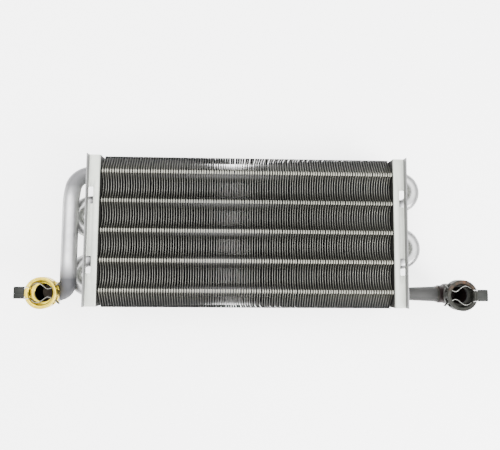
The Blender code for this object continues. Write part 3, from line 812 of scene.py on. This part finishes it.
def build_braze_rings():
    """Braze fillets where the tubes leave the end plates, each with a slightly uneven rim."""
    for side, side_name in ((-1, "left"), (1, "right")):
        along = Matrix.Rotation(side * math.radians(90), 4, "Y")
        for row in range(TUBE_COUNT):
            node = f"braze_ring_{side_name}_{row + 1}"
            low, high = (Vector(corner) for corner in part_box(node))
            foot = (high.y - low.y) / 2
            ring = turn_profile(fillet_ring(TUBE_RADIUS + 0.05 * MM, foot, high.x - low.x), 48, along)
            for vert in ring.verts:
                turn = math.atan2(vert.co.z, vert.co.y)
                ripple = 0.012 * math.sin(3 * turn + row) + 0.010 * math.sin(7 * turn + 2 * row)
                if math.hypot(vert.co.y, vert.co.z) > TUBE_RADIUS + 0.2 * MM:
                    vert.co.y *= (1 + ripple) * 0.975
                    vert.co.z *= (1 + ripple) * 0.975
            mesh = finish_mesh(ring, "braze", BRAZE_SILVER)
            place = (low.x if side > 0 else high.x, row_y(row), TUBE_HEIGHT)
            add_piece(node + "_fillet", mesh, place, "core", "braze", node)


def build_inlet_pipe():
    """From the first tube round a wide bend, over the return bends and through a tight elbow."""
    socket = socket_place("inlet_socket", -1)
    run_x = PACK_X - PIPE_RUN
    first = Vector((PACK_X - TUBE_HALF_LENGTH - GAP, row_y(0), 0))
    top_centre = (run_x + TOP_BEND_RADIUS, row_y(0) - TOP_BEND_RADIUS)
    elbow_centre = (run_x - ELBOW_RADIUS, socket.y + ELBOW_RADIUS)
    rise_end = Vector((run_x, PACK_Y + PIPE_RISE_END, 0))
    plan = [first, *arc(top_centre, TOP_BEND_RADIUS, 90, 180, 28)]
    bend_end = plan[-1]
    plan += [bend_end.lerp(rise_end, k / 4) for k in range(1, 5)]
    elbow_start = len(plan)
    plan += arc(elbow_centre, ELBOW_RADIUS, 0, -90, 28)
    plan.append(Vector((socket.x + PIPE_SEAT + GAP, socket.y, 0)))

    travelled = [0]
    for a, b in zip(plan, plan[1:]):
        travelled.append(travelled[-1] + (b - a).length)
    rise_length = travelled[elbow_start - 1] - travelled[1]
    elbow_length = travelled[-2] - travelled[elbow_start]
    path = []
    radii = []
    for point, distance in zip(plan, travelled):
        turned = (distance - travelled[elbow_start]) / elbow_length
        rise = smooth_step((distance - travelled[1]) / rise_length)
        fall = smooth_step((turned - 0.05) / 0.9)
        height = TUBE_HEIGHT + (PIPE_RUN_HEIGHT - TUBE_HEIGHT) * rise
        height -= (PIPE_RUN_HEIGHT - INLET_HEIGHT) * fall
        path.append(point + Z_AXIS * height)
        flare = smooth_step((distance - travelled[1]) / PIPE_FLARE)
        swage = smooth_step((turned - 0.6) / 0.4)
        radius = TUBE_RADIUS + (PIPE_RADIUS - TUBE_RADIUS) * flare
        radii.append(radius + (PIPE_SWAGED_RADIUS - PIPE_RADIUS) * swage)
    mesh = finish_mesh(sweep_tube(path, radii, PIPE_WALL, PIPE_SIDES), "inlet_pipe", PIPE_SILVER)
    add_piece("inlet_pipe_bent", mesh, (0, 0, 0), "core", "pipe_coat", "inlet_pipe")


def build_outlet_pipe():
    """Nearly straight: a shallow joggle, then a slow taper out to the socket's size."""
    low, high = (Vector(corner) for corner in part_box("outlet_pipe"))
    socket = socket_place("outlet_socket", 1)
    joggle = JOGGLE_END - JOGGLE_START
    taper = TAPER_END - JOGGLE_END
    stations = [low.x - PACK_X]
    stations += [JOGGLE_START + joggle * k / 12 for k in range(13)]
    stations += [JOGGLE_END + taper * k / 6 for k in range(1, 7)]
    stations.append(high.x - PACK_X)
    from_y = row_y(TUBE_COUNT - 1)
    path = []
    radii = []
    for x in stations:
        y = from_y + (socket.y - from_y) * smooth_step((x - JOGGLE_START) / joggle)
        path.append(Vector((PACK_X + x, y, TUBE_HEIGHT)))
        widened = min(max((x - JOGGLE_END) / taper, 0), 1)
        radii.append(TUBE_RADIUS + (OUTLET_END_RADIUS - TUBE_RADIUS) * widened)
    mesh = finish_mesh(sweep_tube(path, radii, TUBE_WALL, PIPE_SIDES), "outlet_pipe", PIPE_DULL_AND_SHADE)
    add_piece("outlet_pipe_drawn", mesh, (0, 0, 0), "core", "pipe_coat", "outlet_pipe")


# Sockets, seals and clips -------------------------------------------------------------------------
def socket_place(name, side):
    """The middle of a socket's rim, read from its node's box: the stub leaves on one side only."""
    low, high = (Vector(corner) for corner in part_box(name))
    x = high.x - CUP_RADIUS if side > 0 else low.x + CUP_RADIUS
    return Vector((x, (low.y + high.y) / 2, high.z))


def build_socket(name, side, pipe, stub_size, materials, slot):
    """A turned cup on a narrower body, with a stub into which its pipe is soldered.

    The pipe is given as (height, radius), the stub as (radius, end), the materials as (metal, solder).
    """
    pipe_height, pipe_radius = pipe
    stub_radius, stub_end = stub_size
    metal, solder_coat = materials
    place = socket_place(name, side)
    depth = place.z - pipe_height
    base = place.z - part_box(name)[0][2]
    round_x = CUP_RADIUS - CUP_ROUND
    fillet = [(round_x + CUP_ROUND * math.sin(a), CUP_ROUND * (math.cos(a) - 1))
              for a in (math.radians(15 * k) for k in range(7))]
    under = [(round_x + CUP_ROUND * math.cos(a), -CUP_DEPTH + CUP_ROUND * (1 - math.sin(a)))
             for a in (math.radians(22.5 * k) for k in range(5))]
    outside = [(0, 0), *fillet, *under, (BODY_RADIUS, -CUP_DEPTH), (BODY_RADIUS, -base + BODY_BREAK),
               (BODY_RADIUS - BODY_BREAK, -base), (0, -base)]
    mesh = finish_mesh(turn_profile(outside), name, metal)
    towards = Matrix.Translation((0, 0, -depth)) @ Matrix.Rotation(-side * math.radians(90), 4, "Y")
    stub = ((0, 0), (stub_radius, 0), (stub_radius, stub_end - BODY_BREAK),
            (stub_radius - BODY_BREAK, stub_end), (0, stub_end))
    mesh = carve(mesh, turn_profile(stub, TURNED_SIDES, towards), "UNION")
    inside = (
        (0, MM),
        (RIM_RING[0][0], MM),
        *RIM_RING,
        (CUP_BORE, -MOUTH_DEPTH),
        (CUP_BORE, -STEP_DEPTH),
        (BODY_BORE + STEP_BREAK, -STEP_DEPTH),
        (BODY_BORE, -GROOVE_TOP + STEP_LAND),
        (BODY_BORE, -GROOVE_TOP),
        (GROOVE_RADIUS, -GROOVE_TOP),
        (GROOVE_RADIUS, -GROOVE_BOTTOM),
        (BODY_BORE, -GROOVE_BOTTOM),
        (BODY_BORE, BODY_FLOOR - base),
        (0, BODY_FLOOR - base),
    )
    mesh = carve(mesh, turn_profile(inside))
    mesh = carve(mesh, window_cuts(side))
    mesh = carve(mesh, slit_cuts(side))
    for radius, start, end in ((pipe_radius - PIPE_WALL, 0, PIPE_SEAT + MM),
                               (pipe_radius + 0.5 * MM, PIPE_SEAT, stub_end + MM)):
        bore = ((0, start), (radius, start), (radius, end), (0, end))
        mesh = carve(mesh, turn_profile(bore, BORE_SIDES, towards))
    mesh = soften(mesh, EDGE_BREAK)
    add_piece(name + "_turned", mesh, place, "core", slot, name)

    fillet_shape = fillet_ring(pipe_radius, stub_radius - MM, 2.2 * MM, 0.25 * MM)
    solder = finish_mesh(turn_profile(fillet_shape, BORE_SIDES), name + "_solder", solder_coat)
    turned = (0, -side * math.radians(90), 0)
    foot = place + Vector((-side * (stub_end + 0.05 * MM), 0, -depth))
    add_piece(name + "_solder", solder, foot, "core", "braze", rotation=turned)


def window_cuts(side):
    """The clip's ways through the cup's wall, near the tab and far from it."""
    cuts = bmesh.new()
    reach = CUP_RADIUS + PAST
    for towards, (start, outer) in ((side, NEAR_WINDOW), (-side, FAR_WINDOW)):
        for half in (-1, 1):
            u = sorted((towards * start, towards * reach))
            v = sorted((half * WINDOW_INNER, half * outer))
            add_box(cuts, (u[0], v[0], -WINDOW_BOTTOM), (u[1], v[1], -WINDOW_TOP))
    return cuts


def slit_cuts(side):
    """Two narrow saw cuts through the rim above the clip's legs."""
    cuts = bmesh.new()
    u = sorted((side * (CUP_BORE - 2 * MM), side * (CUP_RADIUS + PAST)))
    for half in (-1, 1):
        v = sorted((half * (LEG_STRAIGHT - 0.5 * MM), half * (LEG_STRAIGHT + 0.5 * MM)))
        add_box(cuts, (u[0], v[0], -SLIT_DEPTH), (u[1], v[1], MM))
    return cuts


def build_seal(name, side):
    place = socket_place(name.replace("seal", "socket"), side)
    profile = [(SEAL_RADIUS + SEAL_SECTION * math.cos(a), -SEAL_SECTION * math.sin(a))
               for a in (math.tau * k / 14 for k in range(14))]
    mesh = finish_mesh(turn_profile(profile, BORE_SIDES), name, SEAL_BLACK)
    place.z -= (GROOVE_TOP + GROOVE_BOTTOM) / 2
    add_piece(name + "_ring", mesh, place, "core", "seal_rubber", name)


def round_fall(share):
    """Falls away from the round top of a bulge and ends level; from 0 to 1."""
    return share * share * (1.67 + 0.66 * share - 1.33 * share * share)


def leg_line():
    """Plan of a clip leg's middle line: from the tab, out over a bulge, in to a neck, out to its tip."""
    foot = (-LEG_STRAIGHT_END, LEG_STRAIGHT)
    steps = 16
    shares = [k / steps for k in range(1, steps + 1)]
    points = [(-CLIP_TAB_START, LEG_STRAIGHT), foot]
    points += [(foot[0] + (BULGE[0] - foot[0]) * share,
                BULGE[1] - (BULGE[1] - foot[1]) * round_fall(1 - share))
               for share in shares]
    points += [(BULGE[0] + (NECK[0] - BULGE[0]) * share,
                BULGE[1] - (BULGE[1] - NECK[1]) * round_fall(share))
               for share in shares]
    points += [(NECK[0] + (TIP[0] - NECK[0]) * share,
                NECK[1] + (TIP[1] - NECK[1]) * share**1.7)
               for share in shares]
    return [Vector(point) for point in points]


def extrude_strip(bm, outline, across, thickness):
    """Draws a closed loop of points out along a direction; both end faces are the strip's cut edges."""
    start = [bm.verts.new(p) for p in outline]
    end = [bm.verts.new(p + across * thickness) for p in outline]
    bridge(bm, start, end)
    bm.faces.new(start).material_index = 1
    bm.faces.new(end).material_index = 1


def build_clip(name, side, body):
    """A folded channel of spring strip: a flat tab and two waved legs that reach through the socket."""
    place = socket_place(name.replace("clip", "socket"), side)
    bm = bmesh.new()
    width = CLIP_BOTTOM - CLIP_TOP
    for half in (-1, 1):
        line = leg_line()
        loop = offset_line(line, LEG_SHEET / 2) + offset_line(line, -LEG_SHEET / 2)[::-1]
        outline = [Vector((-side * p.x, half * p.y, -CLIP_BOTTOM)) for p in loop]
        extrude_strip(bm, outline, Z_AXIS, width)
    section = round_corners((
        (-LEG_STRAIGHT, -CLIP_BOTTOM),
        (-LEG_STRAIGHT, -CLIP_TOP - CLIP_SHEET / 2),
        (LEG_STRAIGHT, -CLIP_TOP - CLIP_SHEET / 2),
        (LEG_STRAIGHT, -CLIP_BOTTOM),
    ), 1.1 * MM, 5)
    loop = offset_line(section, CLIP_SHEET / 2) + offset_line(section, -CLIP_SHEET / 2)[::-1]
    outline = [Vector((side * CLIP_TAB_START, p.x, p.y)) for p in loop]
    extrude_strip(bm, outline, X_AXIS * side, CLIP_TAB_END - CLIP_TAB_START)
    mesh = soften(finish_mesh(bm, name, CLIP_FACE, CLIP_EDGE), EDGE_BREAK)
    add_piece(name + "_folded", mesh, place, body, "clip_steel", name)


def dress_turbulators():
    """The strips inside the tubes keep their CAD shape and get their steel."""
    for row in range(TUBE_COUNT):
        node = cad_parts[f"turbulator_{row + 1}"]
        for slot in node.material_slots:
            slot.material = STRIP_STEEL


# Floor, light and camera --------------------------------------------------------------------------
def build_floor():
    """A white table that glows a little, except beneath the pack, where the fins shade it."""
    material, tree, shader = new_material("table_white")
    paper = add_noise(tree, 3, 2)
    colour = add_ramp(tree, paper, ((0.3, (0.94, 0.94, 0.94)), (0.7, (0.96, 0.96, 0.96))))
    tree.links.new(colour, shader.inputs["Base Color"])
    shader.inputs["Roughness"].default_value = 0.7
    shader.inputs["Emission Color"].default_value = (1, 1, 1, 1)
    glows = []
    for axis, middle, reach in (("X", PACK_X, PLATE_INSIDE), ("Y", PACK_Y, PACK_Y_REACH)):
        beneath = tree.nodes.new("ShaderNodeMath")
        beneath.operation = "COMPARE"
        beneath.inputs[1].default_value = middle
        beneath.inputs[2].default_value = reach
        tree.links.new(add_object_axis(tree, axis), beneath.inputs[0])
        glows.append(add_range(tree, beneath.outputs["Value"], 0, 1, FLOOR_GLOW, 0))
    tree.links.new(add_math(tree, "MAXIMUM", *glows), shader.inputs["Emission Strength"])
    bm = bmesh.new()
    bmesh.ops.create_grid(bm, x_segments=1, y_segments=1, size=4)
    floor = bpy.data.objects.new("floor", finish_mesh(bm, "floor", material))
    floor.location.z = -0.1 * MM
    bpy.context.scene.collection.objects.link(floor)


def add_light(name, location, size, power):
    """A soft square light that faces the middle of the pack."""
    light = bpy.data.lights.new(name, "AREA")
    light.size = size
    light.energy = power
    obj = bpy.data.objects.new(name, light)
    obj.location = location
    obj.rotation_euler = (Vector((0, 0, 0.03)) - Vector(location)).to_track_quat("-Z", "Y").to_euler()
    bpy.context.scene.collection.objects.link(obj)


def build_stage():
    """Table, a sky that brightens overhead, two soft lights and the camera."""
    build_floor()
    world = bpy.data.worlds.new("studio")
    bpy.context.scene.world = world
    world.use_nodes = True
    tree = world.node_tree
    place = tree.nodes.new("ShaderNodeTexCoord")
    split = tree.nodes.new("ShaderNodeSeparateXYZ")
    tree.links.new(place.outputs["Generated"], split.inputs["Vector"])
    sky = add_ramp(tree, split.outputs["Z"], [(height, (grey,) * 3) for height, grey in SKY_GREYS])
    tree.links.new(sky, tree.nodes["Background"].inputs["Color"])
    tree.nodes["Background"].inputs["Strength"].default_value = SKY_STRENGTH
    add_light("key", (0.95, -0.75, 0.95), 0.7, 34)
    add_light("fill", (-0.45, 0.8, 1.1), 1.0, 10)

    camera = bpy.data.objects.new("camera", bpy.data.cameras.new("camera"))
    camera.data.lens = CAMERA_LENS
    camera.data.sensor_width = 36
    camera.location = Vector((PACK_X, PACK_Y, 0)) + Vector(CAMERA_PLACE)
    camera.rotation_euler = CAMERA_TURN
    camera.data.clip_start = 0.01
    bpy.context.scene.collection.objects.link(camera)
    bpy.context.scene.camera = camera


build_stage()
build_fins()
build_end_plate("end_plate_left", -1)
build_end_plate("end_plate_right", 1)
build_tubes()
build_return_bends()
build_braze_rings()
build_inlet_pipe()
build_outlet_pipe()
build_socket("inlet_socket", -1, (INLET_HEIGHT, PIPE_SWAGED_RADIUS), INLET_STUB,
             (BRASS_BRIGHT, SOLDER_DULL), "brass")
build_socket("outlet_socket", 1, (TUBE_HEIGHT, OUTLET_END_RADIUS), OUTLET_STUB,
             (BRASS_BURNT, BRASS_BURNT), "dark_brass")
build_seal("inlet_seal", -1)
build_seal("outlet_seal", 1)
build_clip("inlet_clip", -1, "inlet_clip_body")
build_clip("outlet_clip", 1, "outlet_clip_body")
dress_turbulators()
